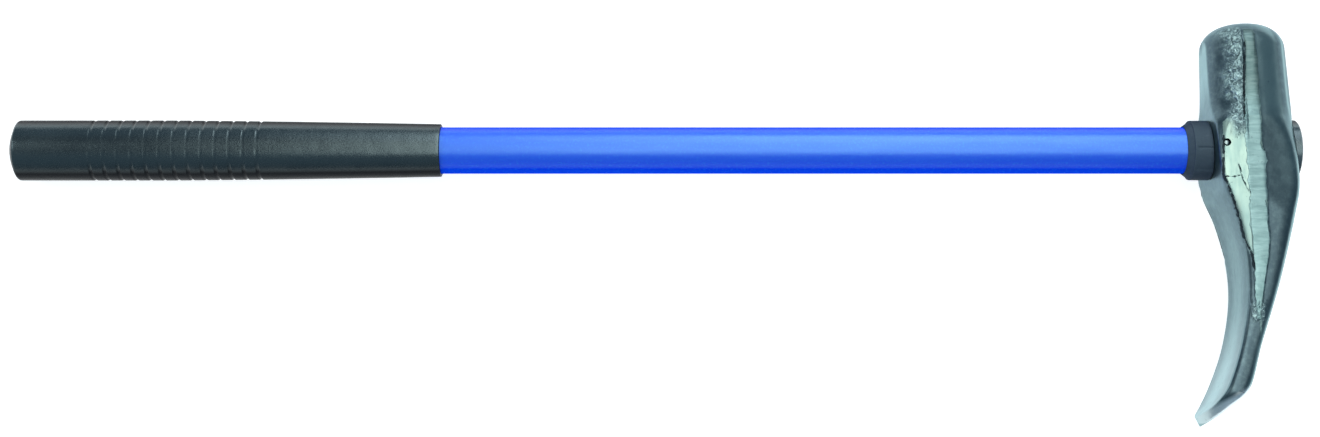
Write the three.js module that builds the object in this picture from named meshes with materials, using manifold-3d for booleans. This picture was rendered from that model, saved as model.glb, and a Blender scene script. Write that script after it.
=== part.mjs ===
// Tyre bead-breaking wedge with a fibreglass handle: a one-hand-swung, hammer-headed wedge that is driven
// between the tyre's bead and the rim. Millimetres, +Z up. The tool lies on its side: the handle runs along
// X with its butt at -X, the striking poll points to +Y and the curved bill to -Y. The origin is on the
// lower cheek, the flat face that the head rests on, straight below the centre of the eye.
import * as THREE from 'three';
import { mergeVertices } from 'three/addons/utils/BufferGeometryUtils.js';
import Module from 'manifold-3d';

const wasm = await Module();
wasm.setup();

// ---------------------------------------------------------------- driving dimensions

const handleReach = 728; // butt end to the centre line of the eye
const shaftDiameter = 27.5; // blue jacket, which is the shaft as the hand sees it
const jacketWall = 2; // jacket around the solid fibreglass core
const fitGap = 0.3; // space left between two pieces that touch

const gripLength = 254.5;
const gripWallButt = 3.75; // rubber outside the jacket, at the butt
const gripWallFront = 1.6; // and where the grip ends
const gripTaperStart = 96; // from the butt: the grip is parallel up to here
const gripEndWall = 7; // rubber behind the end of the core
const gripButtBulge = 4.4; // how far the middle of the butt stands out past its rim
const gripButtRound = 1.8; // rounding of the butt's rim
const grooveCount = 13;
const groovePitch = 8.16;
const grooveStart = 50; // butt end to the middle of the first groove
const grooveWidth = 2.2;
const grooveDepth = 0.7;

const collarLength = 14.5; // outer sleeve of the collar, up to the centre of the seat
const collarWall = 3.6; // rubber outside the jacket
const collarConeLength = 3.3;
const collarLip = 0.25; // thickness of the cone's thin end

const headThickness = 56; // across the two cheeks
const pollHeight = 75; // striking face above the handle's centre line
const pollRadius = 24.8; // at the foot of the crown
const pollRootRadius = 26.7; // where the poll runs into the eye
const pollShift = 2.7; // centre line of the poll behind the centre line of the head
const pollFlat = 23.4; // centre line of the poll to its flat on the handle side
const crownFlatRadius = 7; // flat middle of the striking face
const crownDepth = 15.5; // from the striking face down to the full poll
const eyeBack = 28.4; // centre line of the head to the face behind the eye
const eyeFront = 20.6; // centre line of the head to the seat of the collar
const seatSlope = 0.04; // the seat leans this much per millimetre of height
const billDrop = 163; // tip below the handle's centre line
const billSweep = 31; // tip towards the handle, from the head's centre line
const billHollow = 5.9; // deepest place of the hollow, from the head's centre line
const billThickness = 12.1; // of the plate above its ground nose
const waistWidth = 45.4; // narrowest place of the bill
const flareWidth = 50.8; // widest place, above the nose
const noseEdge = 6.2; // thickness left at the tip
const nosePoint = 1.6; // 1 would be an elliptical nose, and more is more pointed

const resinWall = 3.4; // bonding resin between the core and the eye
const eyeTaper = 1.2; // how much wider the eye's radius is at the far side
const capOverlap = 1.6; // cap's rim outside the eye
const capRise = 5.6; // top of the cap above the face behind the eye
const capRim = 2.6; // straight rim of the cap
const capSpigot = 4;
const pinRadius = 1.8;
const pinHoleGap = 0.3;
const pinInset = 4.9; // pin's centre from the seat of the collar
const pinRecess = 0.7; // ends of the pin below the cheeks

const roundSegments = 40;
const headSides = 36;
const headRings = 44;

// ---------------------------------------------------------------- sizes that follow from them

const shaftRadius = shaftDiameter / 2;
const coreRadius = shaftRadius - jacketWall;
const sleeveBore = shaftRadius + fitGap; // bore of the grip and of the collar
const eyeRadius = coreRadius + resinWall; // at the collar's side
const eyeRadiusAt = (x) => eyeRadius + (eyeTaper * (x + eyeFront)) / (eyeFront + eyeBack);
const halfHead = headThickness / 2;
const capRadius = eyeRadiusAt(eyeBack) + capOverlap;
const capStart = eyeBack - capSpigot;
const pinX = -eyeFront + pinInset;

// ---------------------------------------------------------------- solids

function solidOf(geometry) {
  const bare = geometry.clone();
  bare.deleteAttribute('normal');
  bare.deleteAttribute('uv');
  const merged = mergeVertices(bare, 1e-4);
  const triVerts = new Uint32Array(merged.index.array);
  const vertProperties = merged.attributes.position.array;
  return new wasm.Manifold(new wasm.Mesh({ numProp: 3, vertProperties, triVerts }));
}

function geometryOf(solid) {
  const { vertProperties, triVerts } = solid.getMesh();
  const geometry = new THREE.BufferGeometry();
  geometry.setAttribute('position', new THREE.BufferAttribute(vertProperties, 3));
  geometry.setIndex(new THREE.BufferAttribute(triVerts, 1));
  geometry.computeVertexNormals();
  return geometry;
}

// A turned solid about the handle's axis. The profile is a list of [x, radius], from the butt end towards
// the head along the outside, and it starts and ends on the axis or comes back along a bore.
function turned(profile) {
  const points = profile.map(([x, radius]) => new THREE.Vector2(radius, x));
  const lathe = new THREE.LatheGeometry(points, roundSegments);
  return lathe.rotateZ(-Math.PI / 2);
}

function rod(radius, fromX, toX) {
  return turned([[fromX, 0], [fromX, radius], [toX, radius], [toX, 0]]);
}

function cone(fromRadius, toRadius, fromX, toX) {
  return turned([[fromX, 0], [fromX, fromRadius], [toX, toRadius], [toX, 0]]);
}

function tube(radius, bore, fromX, toX) {
  return turned([[fromX, bore], [fromX, radius], [toX, radius], [toX, bore], [fromX, bore]]);
}

// Points of a quarter round, without its first point.
function quarterRound(centreX, centreRadius, size, fromAngle, toAngle, steps = 4) {
  return Array.from({ length: steps }, (_, i) => {
    const angle = fromAngle + ((toAngle - fromAngle) * (i + 1)) / steps;
    return [centreX + size * Math.cos(angle), centreRadius + size * Math.sin(angle)];
  });
}

// ---------------------------------------------------------------- head

// The head is lofted through stations from the poll to the tip. Each has the ends of its section in the
// middle plane, front on the handle's side and back on the far side, and half of its thickness across the
// cheeks. The section is a superellipse on each side of its middle: square is its exponent, and the front
// one reaches past the front by the factor reach, so that the flat on the handle's side cuts it off.
const drop = (share) => -billDrop * share;
const seatX = (y) => -eyeFront - seatSlope * y;

const stations = [
  pollStation(pollRadius, pollHeight - crownDepth, pollFlat),
  pollStation(pollRootRadius, 25, pollFlat),
  station([seatX(10), 10], [eyeBack, 10], halfHead + 0.3, 1.16, 4, 2.7),
  station([seatX(-11), -11], [eyeBack + 0.1, -11], halfHead + 0.6, 1.2, 5, 4.5),
  station([seatX(-26) + 2, -26], [eyeBack - 0.7, -26], halfHead, 1.28, 4.6, 6),
  station([-billHollow - 5.9, drop(0.252)], [eyeBack - 3.8, drop(0.252)], halfHead - 1.3, 1.33, 4, 6),
  station([-billHollow - 0.5, drop(0.4)], [eyeBack - 9.9, drop(0.4)], waistWidth / 2 + 1.8, 1.38, 4, 6),
  station([-billHollow, drop(0.543)], [eyeBack - 17, drop(0.549)], waistWidth / 2, 1.4, 4, 6),
  station([-billHollow - 4.6, drop(0.706)], [billThickness - billHollow - 4.6, drop(0.718)],
    waistWidth / 2 + 0.6, 1.4, 4, 6),
  station([-billHollow - 12.7, drop(0.847)], [billThickness - billHollow - 12.4, drop(0.87)],
    flareWidth / 2, 1.4, 4, 5),
  station([-0.82 * billSweep, drop(0.917)], [noseEdge - 0.77 * billSweep, drop(0.94)],
    flareWidth / 2, 1.4, 4, 5),
  station([-billSweep - 0.38 * noseEdge, drop(1) + 0.9 * noseEdge], [-billSweep, drop(1)],
    flareWidth / 2, 1.4, 4, 5),
];

function pollStation(radius, y, flat) {
  return station([pollShift - flat, y], [pollShift + radius, y], radius, radius / flat, 2, 2, flat);
}

function station(front, back, half, reach, squareFront, squareBack, middle) {
  const length = Math.hypot(back[0] - front[0], back[1] - front[1]);
  return [...front, ...back, half, reach, squareFront, squareBack, (middle ?? length / 2) / length];
}

// Catmull-Rom through the stations: at is 0 at the first one, and 1 more at each next one.
function between(at) {
  const last = stations.length - 1;
  const i = Math.min(Math.floor(at), last - 1);
  const t = at - i;
  const before = stations[Math.max(i - 1, 0)];
  const after = stations[Math.min(i + 2, last)];
  return stations[i].map((a, k) => {
    const b = stations[i + 1][k];
    const slopeA = (b - before[k]) / 2;
    const slopeB = (after[k] - a) / 2;
    return (2 * a - 2 * b + slopeA + slopeB) * t ** 3 + (3 * (b - a) - 2 * slopeA - slopeB) * t ** 2 + slopeA * t + a;
  });
}

// The section at a share of the head's length: the crown above the first station, the stations, and the
// rounded nose over the last three.
const crownShare = 0.16;
const noseShare = 0.76;

function section(share) {
  if (share < crownShare) {
    const angle = (1 - share / crownShare) * (Math.PI / 2);
    const radius = crownFlatRadius + (pollRadius - crownFlatRadius) * Math.cos(angle);
    const y = pollHeight - crownDepth + crownDepth * Math.sin(angle);
    return pollStation(radius, y, Math.min(0.998 * radius, pollFlat));
  }
  const lastPlate = stations.length - 3;
  if (share <= noseShare) return between(((share - crownShare) / (noseShare - crownShare)) * lastPlate);
  const angle = ((share - noseShare) / (1 - noseShare)) * THREE.MathUtils.degToRad(83);
  const nose = between(lastPlate + 2 * Math.sin(angle));
  nose[4] *= Math.cos(angle) ** nosePoint;
  return nose;
}

// A point on the outline of a section: turn runs from -1 to 1 round the handle's side and on from 1 to 3
// round the far side, 0 being the middle of the flat and 2 the middle of the back.
const flatShare = 0.45;

function outline([frontX, frontY, backX, backY, half, reach, squareFront, squareBack, middle], turn) {
  const length = Math.hypot(backX - frontX, backY - frontY);
  const depth = length * middle;
  const isBack = turn > 1;
  const quarter = Math.min(isBack ? Math.abs(2 - turn) : Math.abs(turn), 1);
  const side = isBack ? Math.sign(2 - turn) : Math.sign(turn);
  let along;
  let across;
  if (isBack) {
    along = depth + (length - depth) * Math.cos((quarter * Math.PI) / 2) ** (2 / squareBack);
    across = half * Math.sin((quarter * Math.PI) / 2) ** (2 / squareBack);
  } else {
    const edge = Math.acos(Math.min(1, 1 / reach) ** (squareFront / 2));
    if (quarter < flatShare) {
      along = 0;
      across = half * Math.sin(edge) ** (2 / squareFront) * (quarter / flatShare);
    } else {
      const angle = edge + (Math.PI / 2 - edge) * ((quarter - flatShare) / (1 - flatShare));
      along = depth - depth * reach * Math.cos(angle) ** (2 / squareFront);
      across = half * Math.sin(angle) ** (2 / squareFront);
    }
  }
  const portion = along / length;
  return [frontX + (backX - frontX) * portion, frontY + (backY - frontY) * portion, side * across];
}

// The blank is a cylinder whose rings are moved on to the sections.
function headBlank() {
  const geometry = new THREE.CylinderGeometry(1, 1, 1, headSides, headRings);
  const position = geometry.attributes.position;
  for (let i = 0; i < position.count; i += 1) {
    const [x, y, z] = [position.getX(i), position.getY(i), position.getZ(i)];
    const ring = section(0.5 - y);
    const turn = Number((Math.atan2(z, -x) / (Math.PI / 2)).toFixed(5)); // so that the seam closes exactly
    const rim = outline(ring, turn < -1 ? turn + 4 : turn);
    const centre = [(ring[0] + ring[2]) / 2, (ring[1] + ring[3]) / 2, 0];
    const isRim = Math.hypot(x, z) > 0.5;
    position.setXYZ(i, ...(isRim ? rim : centre));
  }
  return solidOf(geometry);
}

function cheekLimits() {
  return solidOf(new THREE.BoxGeometry(4 * billDrop, 4 * billDrop, headThickness));
}

const pinDirection = (geometry) => geometry.rotateX(Math.PI / 2).translate(pinX, 0, 0);

function pinHole() {
  return solidOf(pinDirection(new THREE.CylinderGeometry(
    pinRadius + pinHoleGap, pinRadius + pinHoleGap, 2 * headThickness, 16)));
}

function eyeHole() {
  const [from, to] = [-2 * eyeFront, 2 * eyeBack];
  return solidOf(cone(eyeRadiusAt(from), eyeRadiusAt(to), from, to));
}

const blank = headBlank().intersect(cheekLimits());
const headSolid = blank.subtract(eyeHole()).subtract(pinHole());

// ---------------------------------------------------------------- handle

const buttX = -handleReach;
const coreStart = buttX + gripEndWall;

function handleCore() {
  return solidOf(rod(coreRadius, coreStart, capStart - fitGap)).subtract(pinHole());
}

// The jacket stops against the seat round the eye.
function handleJacket() {
  const sleeve = solidOf(tube(shaftRadius, coreRadius + fitGap, coreStart, 0));
  return sleeve.subtract(blank.translate([-fitGap, 0, 0]));
}

function gripRadius(fromButt) {
  const butt = sleeveBore + gripWallButt;
  const front = sleeveBore + gripWallFront;
  const share = THREE.MathUtils.clamp((fromButt - gripTaperStart) / (gripLength - gripTaperStart), 0, 1);
  return butt + (front - butt) * share ** 1.35;
}

// Butt end: a shallow dome that meets the side in a rounded rim.
function buttProfile() {
  const rimRadius = gripRadius(0) - gripButtRound;
  const sphere = (rimRadius ** 2 + gripButtBulge ** 2) / (2 * gripButtBulge);
  const dome = [0, 0.25, 0.5, 0.75].map((share) => {
    const radius = rimRadius * share;
    return [sphere - Math.sqrt(sphere ** 2 - radius ** 2), radius];
  });
  const rim = quarterRound(gripButtBulge + gripButtRound, rimRadius, gripButtRound, Math.PI, Math.PI / 2);
  return [...dome, [gripButtBulge, rimRadius], ...rim];
}

function grooveProfile() {
  return Array.from({ length: grooveCount }, (_, i) => {
    const middle = grooveStart + i * groovePitch;
    const cut = [[-0.5, 0], [-0.22, 1], [0.22, 1], [0.5, 0]];
    return cut.map(([across, deep]) => {
      const x = middle + across * grooveWidth;
      return [x, gripRadius(x) - deep * grooveDepth];
    });
  }).flat();
}

function grip() {
  const taper = [0.35, 0.6, 0.8, 0.95].map((share) => {
    const x = gripTaperStart + (gripLength - gripTaperStart) * share;
    return [x, gripRadius(x)];
  }).filter(([x]) => x > grooveStart + grooveCount * groovePitch);
  const frontRound = 0.45 * gripWallFront;
  const front = gripRadius(gripLength);
  const frontRim = quarterRound(gripLength - frontRound, front - frontRound, frontRound, Math.PI / 2, 0, 3);
  const blindEnd = gripEndWall - fitGap;
  const outside = [...buttProfile(), ...grooveProfile(), ...taper, [gripLength - frontRound, front], ...frontRim];
  const bore = [[gripLength, sleeveBore], [blindEnd, sleeveBore], [blindEnd, 0]];
  return turned([...outside, ...bore].map(([x, radius]) => [buttX + x, radius]));
}

// Collar: a rubber guard with a cone towards the hand. Its other end follows the seat on the head.
function collar() {
  const start = -eyeFront - collarLength;
  const outer = sleeveBore + collarWall;
  const profile = [
    [start, sleeveBore],
    [start, sleeveBore + collarLip],
    [start + collarConeLength, outer - 0.6],
    [start + collarConeLength + 0.9, outer],
    [0, outer],
    [0, sleeveBore],
    [start, sleeveBore],
  ];
  return solidOf(turned(profile)).subtract(blank.translate([-fitGap, 0, 0]));
}

// ---------------------------------------------------------------- inside and behind the eye

function eyeResin() {
  const from = -eyeFront + 3 * fitGap + seatSlope * eyeRadius;
  const to = capStart - fitGap;
  const plug = solidOf(cone(eyeRadiusAt(from) - fitGap, eyeRadiusAt(to) - fitGap, from, to));
  const bore = solidOf(rod(coreRadius + fitGap, from - 1, to + 1));
  return plug.subtract(bore).subtract(pinHole());
}

function eyeCap() {
  const top = eyeBack + capRise;
  const rimX = top - capRise + capRim;
  const bulge = top - rimX;
  const sphere = (capRadius ** 2 + bulge ** 2) / (2 * bulge);
  const dome = [1, 0.8, 0.6, 0.4, 0.2, 0].map((share) => {
    const radius = capRadius * share;
    return [top - sphere + Math.sqrt(sphere ** 2 - radius ** 2), radius];
  });
  const spigotEnd = eyeBack + capRim / 2;
  const spigot = solidOf(cone(eyeRadiusAt(capStart) - fitGap, eyeRadiusAt(eyeBack) - fitGap, capStart, spigotEnd));
  const crown = solidOf(turned([[capStart, 0], [capStart, capRadius], ...dome]));
  return crown.subtract(blank.translate([fitGap, 0, 0])).add(spigot);
}

function crossPin() {
  const half = halfHead - pinRecess;
  const end = [[pinRadius, half - 0.35], [pinRadius * 0.55, half]];
  const points = [[0, -half], ...end.map(([r, h]) => [r, -h]).reverse(), ...end, [0, half]];
  const pin = new THREE.LatheGeometry(points.map(([r, h]) => new THREE.Vector2(r, h)), 16);
  return pinDirection(pin);
}

// ---------------------------------------------------------------- materials

function finish(color, roughness, metalness) {
  return new THREE.MeshStandardMaterial({ color, roughness, metalness });
}

const steel = () => finish(0xa9c0c0, 0.32, 1);
const pinSteel = () => finish(0xb9c9cc, 0.35, 1);
const fibreglass = () => finish(0xd8cfa8, 0.55, 0);
const blueJacket = () => finish(0x2f6bf0, 0.2, 0);
const gripRubber = () => finish(0x2a333a, 0.6, 0);
const collarRubber = () => finish(0x22292f, 0.75, 0);
const resin = () => finish(0x3b3a35, 0.5, 0);
const capPlastic = () => finish(0x12181f, 0.45, 0);

// ---------------------------------------------------------------- the tool

const tool = new THREE.Group();
tool.position.z = halfHead;

function add(name, shape, material) {
  const geometry = shape.isBufferGeometry ? shape : geometryOf(shape);
  const mesh = new THREE.Mesh(geometry, material);
  mesh.name = name;
  tool.add(mesh);
}

add('wedge_head', headSolid, steel());
add('handle_core', handleCore(), fibreglass());
add('handle_jacket', handleJacket(), blueJacket());
add('grip', grip(), gripRubber());
add('collar', collar(), collarRubber());
add('eye_resin', eyeResin(), resin());
add('eye_cap', eyeCap(), capPlastic());
add('cross_pin', crossPin(), pinSteel());

export default tool;
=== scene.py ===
# %% [markdown]
# # A bead-breaking wedge with a fibreglass handle
#
# This tool is laid with its bill between a truck tyre's bead and the rim, and its striking poll is hit with
# a hammer. It is one forged and plated head, and a straight handle with a rubber grip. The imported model
# gives every piece its place and size. Here each visible piece is made again, at the same place and size,
# with the surface that the real one has. Everything is in metres, and sizes in this file are written in
# millimetres times `mm`.

# %% Load the frame
import math

import bmesh
import bpy
import numpy as np
from mathutils import Matrix, Vector


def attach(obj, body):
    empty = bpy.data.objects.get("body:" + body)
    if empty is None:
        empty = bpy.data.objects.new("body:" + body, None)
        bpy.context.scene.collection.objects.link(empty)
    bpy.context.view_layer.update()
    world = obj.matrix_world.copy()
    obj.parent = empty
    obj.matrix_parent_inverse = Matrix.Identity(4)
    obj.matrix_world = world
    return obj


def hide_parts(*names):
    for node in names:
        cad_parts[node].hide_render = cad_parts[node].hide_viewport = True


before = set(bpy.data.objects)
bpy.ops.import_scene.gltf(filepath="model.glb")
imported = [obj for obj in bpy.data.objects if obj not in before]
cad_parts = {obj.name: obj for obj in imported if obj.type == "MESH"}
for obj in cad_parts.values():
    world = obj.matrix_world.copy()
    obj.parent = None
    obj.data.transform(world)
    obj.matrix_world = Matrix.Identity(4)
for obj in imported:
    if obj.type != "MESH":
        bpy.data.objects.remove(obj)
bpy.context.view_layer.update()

mm = 0.001
scene = bpy.context.scene
print("CAD nodes:", sorted(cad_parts))

# %% [markdown]
# ## Camera
#
# The tool lies on its cheek and is seen from almost straight above, from a bit more than a metre away. The
# camera stands over the middle of the handle, so the head is seen slightly from the handle's side: that is
# why the flat of the poll and the hollow of the bill show. A camera needs a place, a direction and a lens.
# Its direction comes from one angle, the tilt from straight down.

# %% Camera
head_half = 28 * mm  # half of the head's thickness, and so the height of the handle's axis
axis_z = head_half
camera_tilt = math.radians(8.5)
camera_distance = 1178.6 * mm
look_at = Vector((-344.2 * mm, -40.7 * mm, axis_z))

camera_data = bpy.data.cameras.new("camera")
camera_data.sensor_width = 36
camera_data.lens = 54.55
camera = bpy.data.objects.new("camera", camera_data)
scene.collection.objects.link(camera)
camera.rotation_euler = (camera_tilt, 0, 0)
camera.location = look_at + camera_distance * Vector((0, -math.sin(camera_tilt), math.cos(camera_tilt)))
scene.camera = camera
print("camera at", [round(v, 3) for v in camera.location])

# %% [markdown]
# ## Node helpers
#
# Shader trees and geometry trees are built in the same way: add a node, give each input a number or join
# it to another node's output. A few short functions keep the recipes below readable.


# %% Node helpers
def put(tree, kind, inputs=(), **settings):
    """Adds a node. A socket given as an input is linked, and anything else is set as its value."""
    node = tree.nodes.new(kind)
    for key, value in settings.items():
        setattr(node, key, value)
    for key, value in dict(inputs).items():
        if isinstance(value, bpy.types.NodeSocket):
            tree.links.new(value, node.inputs[key])
        else:
            node.inputs[key].default_value = value
    return node


def calc(tree, operation, *values):
    """One step of arithmetic, in either kind of tree."""
    return put(tree, "ShaderNodeMath", enumerate(values), operation=operation).outputs[0]


def chain(tree, operation, values):
    """One step of arithmetic after another, over a list of values."""
    result = values[0]
    for value in values[1:]:
        result = calc(tree, operation, result, value)
    return result


def total(tree, *values):
    return chain(tree, "ADD", values)


def times(tree, *values):
    return chain(tree, "MULTIPLY", values)


def weighted(tree, *layers):
    """The sum of patterns. Each layer is a pattern and what it is multiplied by."""
    return total(tree, *(times(tree, pattern, weight) for pattern, weight in layers))


def vector_calc(tree, operation, *values):
    """One step with vectors. It gives all outputs of the node: the vector is 0, and the number is Value."""
    return put(tree, "ShaderNodeVectorMath", enumerate(values), operation=operation).outputs


def stretch(tree, vector, factors):
    """Coordinates times a factor along each axis."""
    return vector_calc(tree, "MULTIPLY", vector, factors)[0]


def ramp(tree, value, start, end, low=0.0, high=1.0):
    """low before start, high after end, and a smooth change in between."""
    inputs = {"Value": value, "From Min": start, "From Max": end, "To Min": low, "To Max": high}
    return put(tree, "ShaderNodeMapRange", inputs, interpolation_type="SMOOTHSTEP").outputs[0]


def noise(tree, vector, scale, detail=2.0, roughness=0.5, distortion=0.0):
    """Cloudy noise from 0 to 1. One feature is about 1 / scale metres wide."""
    inputs = {"Vector": vector, "Scale": scale, "Detail": detail, "Roughness": roughness}
    return put(tree, "ShaderNodeTexNoise", inputs | {"Distortion": distortion}).outputs["Fac"]


def mix_color(tree, share, first, second):
    """first where share is 0, and second where it is 1."""
    return put(tree, "ShaderNodeMix", {0: share, 6: first, 7: second}, data_type="RGBA").outputs[2]


def layered(tree, color, *layers):
    """Lays colours over the first one. Each layer is how much it covers, and its colour."""
    for cover, layer_color in layers:
        color = mix_color(tree, cover, color, layer_color)
    return color


# %% [markdown]
# ## Floor
#
# The head's thick cheek and the thinner grip both touch the floor, so the handle slopes by less than a
# degree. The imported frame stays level, and the floor is tipped by that angle instead. The floor glows a
# little, as a lit paper sweep does, so that it stays white right up to the tool.

# %% Floor
grip_butt_radius = 17.8 * mm
rest_on_head = Vector((-14 * mm, 0))
rest_on_grip = Vector((-720 * mm, axis_z - grip_butt_radius))
floor_tilt = math.atan2(rest_on_grip.y, rest_on_head.x - rest_on_grip.x)
floor_size = 30.0

floor_mesh = bpy.data.meshes.new("floor")
corners = [(-1, -1), (1, -1), (1, 1), (-1, 1)]
points = [(rest_on_head.x + u * floor_size, v * floor_size, -u * floor_size * math.tan(floor_tilt))
          for u, v in corners]
floor_mesh.from_pydata(points, [], [(0, 1, 2, 3)])
floor = bpy.data.objects.new("floor", floor_mesh)
scene.collection.objects.link(floor)

floor_finish = bpy.data.materials.new("pale_floor")
floor_finish.use_nodes = True
floor_shader = floor_finish.node_tree.nodes["Principled BSDF"]
floor_look = {"Base Color": (0.52, 0.525, 0.53, 1), "Roughness": 0.9, "Specular IOR Level": 0.1,
              "Emission Color": (0.97, 0.99, 1.0, 1), "Emission Strength": 0.88}
for label, value in floor_look.items():
    floor_shader.inputs[label].default_value = value
floor_mesh.materials.append(floor_finish)
print("floor tipped by", round(math.degrees(floor_tilt), 2), "degrees")

# %% [markdown]
# ## Light
#
# Bright steel shows what is around it, so the light matters more than the metal's own colour. One wide soft
# light hangs overhead and makes the cheek bright. Two smaller ones stand past the poll and behind the butt.
# The flats on the handle's side mirror the white floor. Everything else is a dim blue-grey room, darker
# still at its ceiling, and it makes the dark bands on the rounded parts. The camera sees the room pale.


# %% Lights
def soft_light(name, centre, target, width, depth, watts, color):
    """A rectangular soft light at centre that shines at target."""
    data = bpy.data.lights.new(name, "AREA")
    data.shape = "RECTANGLE"
    data.size, data.size_y = width, depth
    data.energy = watts
    data.color = color
    light = bpy.data.objects.new(name, data)
    scene.collection.objects.link(light)
    light.location = centre
    light.rotation_euler = (Vector(target) - Vector(centre)).to_track_quat("-Z", "Y").to_euler()


soft_light("overhead", (-0.02, 0.05, 1.9), (-0.02, 0.05, 0.0), 1.34, 1.9, 16.8, (0.97, 1.0, 0.96))
soft_light("poll_side", (0.0, 1.45, 1.25), (-0.1, 0.0, 0.0), 1.2, 1.5, 15, (0.94, 0.98, 1.0))
soft_light("butt_end", (-2.0, 0.35, 1.55), (-0.2, 0.0, 0.0), 0.8, 0.8, 6, (0.96, 1.0, 1.0))

# %% Room
room_color, ceiling_color, seen_color = (0.17, 0.25, 0.31, 1), (0.10, 0.14, 0.17, 1), (0.80, 0.83, 0.86, 1)
ceiling_way = Vector((-0.18, 0.22, 0.96)).normalized()

world = bpy.data.worlds.new("studio")
scene.world = world
world.use_nodes = True
sky = world.node_tree
direction = put(sky, "ShaderNodeTexCoord").outputs["Generated"]
upwards = vector_calc(sky, "DOT_PRODUCT", direction, ceiling_way)["Value"]
room = mix_color(sky, ramp(sky, upwards, 0.72, 0.95), room_color, ceiling_color)
seen = put(sky, "ShaderNodeLightPath").outputs["Is Camera Ray"]
sky.links.new(mix_color(sky, seen, room, seen_color), sky.nodes["Background"].inputs["Color"])
scene.view_settings.view_transform = "Standard"
print("room around the tool:", room_color[:3])

# %% [markdown]
# ## Mesh helpers
#
# Most pieces are turned about the handle's axis, as if on a lathe: a profile of distances along the axis
# and radii, spun round X. The head isn't round, but it is made of rings in the same way. Both use one
# function that joins rings of points.


# %% Mesh helpers
def linked(name, mesh):
    """An object for a mesh, in the scene."""
    piece = bpy.data.objects.new(name, mesh)
    scene.collection.objects.link(piece)
    return piece


def skin(name, rings, closed_along=False):
    """A mesh over rings of equally many points. Its open ends are capped with a point in the middle."""
    count, sides = rings.shape[:2]
    vertices = rings.reshape(-1, 3)
    steps = count if closed_along else count - 1
    i, j = np.meshgrid(np.arange(steps), np.arange(sides), indexing="ij")
    after, beside = (i + 1) % count, (j + 1) % sides
    quads = np.stack([i * sides + j, i * sides + beside, after * sides + beside, after * sides + j], -1)
    faces = quads.reshape(-1, 4).tolist()
    if not closed_along:
        vertices = np.vstack([vertices, rings[0].mean(0), rings[-1].mean(0)])
        first, last = len(vertices) - 2, len(vertices) - 1
        end = (count - 1) * sides
        faces += [(first, (k + 1) % sides, k) for k in range(sides)]
        faces += [(last, end + k, end + (k + 1) % sides) for k in range(sides)]
    mesh = bpy.data.meshes.new(name)
    mesh.from_pydata(vertices.tolist(), [], faces)
    tidy = bmesh.new()
    tidy.from_mesh(mesh)
    bmesh.ops.recalc_face_normals(tidy, faces=tidy.faces)
    tidy.to_mesh(mesh)
    tidy.free()
    mesh.polygons.foreach_set("use_smooth", [True] * len(mesh.polygons))
    return mesh


def turned(name, profile, sides=128, closed=False):
    """A turned piece on the handle's axis, from (x, radius) pairs. closed joins the last to the first."""
    angles = np.linspace(0, 2 * math.pi, sides, endpoint=False)
    spin = np.stack([np.zeros(sides), np.cos(angles), np.sin(angles)], -1)
    rings = np.array([np.array([x, 0, axis_z]) + radius * spin for x, radius in profile])
    return skin(name, rings, closed_along=closed)


def arc(centre_x, centre_radius, size, start, end, steps):
    """Points of an arc in a profile, from angle start to angle end in degrees, 0 being towards the head."""
    angles = np.radians(np.linspace(start, end, steps + 1))
    return [(centre_x + size * math.cos(a), centre_radius + size * math.sin(a)) for a in angles]


def crease(mesh, degrees=40):
    """Smooth shading, with a sharp edge wherever two faces meet at more than this angle."""
    mesh.polygons.foreach_set("use_smooth", [True] * len(mesh.polygons))
    mesh.set_sharp_from_angle(angle=math.radians(degrees))


# %% [markdown]
# ## Geometry-nodes helpers
#
# A geometry-nodes tree adds what repeats or follows a surface. Its sizes are inputs with names, so they
# can be changed by hand in the modifier. A finished piece has to be just a mesh, so the modifier's result
# is stored and the modifier is removed.


# %% Geometry-nodes helpers
def stored(piece):
    """Replaces the piece's mesh by what its modifiers make of it, and removes them."""
    seen_now = piece.evaluated_get(bpy.context.evaluated_depsgraph_get())
    mesh = bpy.data.meshes.new_from_object(seen_now)
    piece.modifiers.clear()
    piece.data = mesh


def geometry_tree(name, numbers, others):
    """A geometry-nodes tree with a geometry input, inputs for sizes and for other things, and a result."""
    kinds = {int: "NodeSocketInt", float: "NodeSocketFloat", bpy.types.Material: "NodeSocketMaterial"}
    tree = bpy.data.node_groups.new(name, "GeometryNodeTree")
    tree.interface.new_socket("Geometry", in_out="INPUT", socket_type="NodeSocketGeometry")
    for label, kind in (dict.fromkeys(numbers, float) | others).items():
        tree.interface.new_socket(label, in_out="INPUT", socket_type=kinds[kind])
    tree.interface.new_socket("Geometry", in_out="OUTPUT", socket_type="NodeSocketGeometry")
    return tree, put(tree, "NodeGroupInput").outputs


def move_and_end(tree, given, way, distance):
    """Moves each point along way by a distance, then Realize Instances, Set Material and the output."""
    offset = put(tree, "ShaderNodeVectorMath", {0: way, "Scale": distance}, operation="SCALE").outputs[0]
    moved = put(tree, "GeometryNodeSetPosition", {"Geometry": given["Geometry"], "Offset": offset}).outputs[0]
    real = put(tree, "GeometryNodeRealizeInstances", {0: moved}).outputs[0]
    finish = put(tree, "GeometryNodeSetMaterial", {"Geometry": real, "Material": given["Material"]})
    put(tree, "NodeGroupOutput", {0: finish.outputs[0]})


def run_tree(piece, tree, inputs):
    """Adds the tree as a modifier, sets its inputs by identifier, and stores the result."""
    modifier = piece.modifiers.new(tree.name, "NODES")
    modifier.node_group = tree
    for socket in tree.interface.items_tree:
        if socket.in_out == "INPUT" and socket.name in inputs:
            modifier[socket.identifier] = inputs[socket.name]
    stored(piece)


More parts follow.
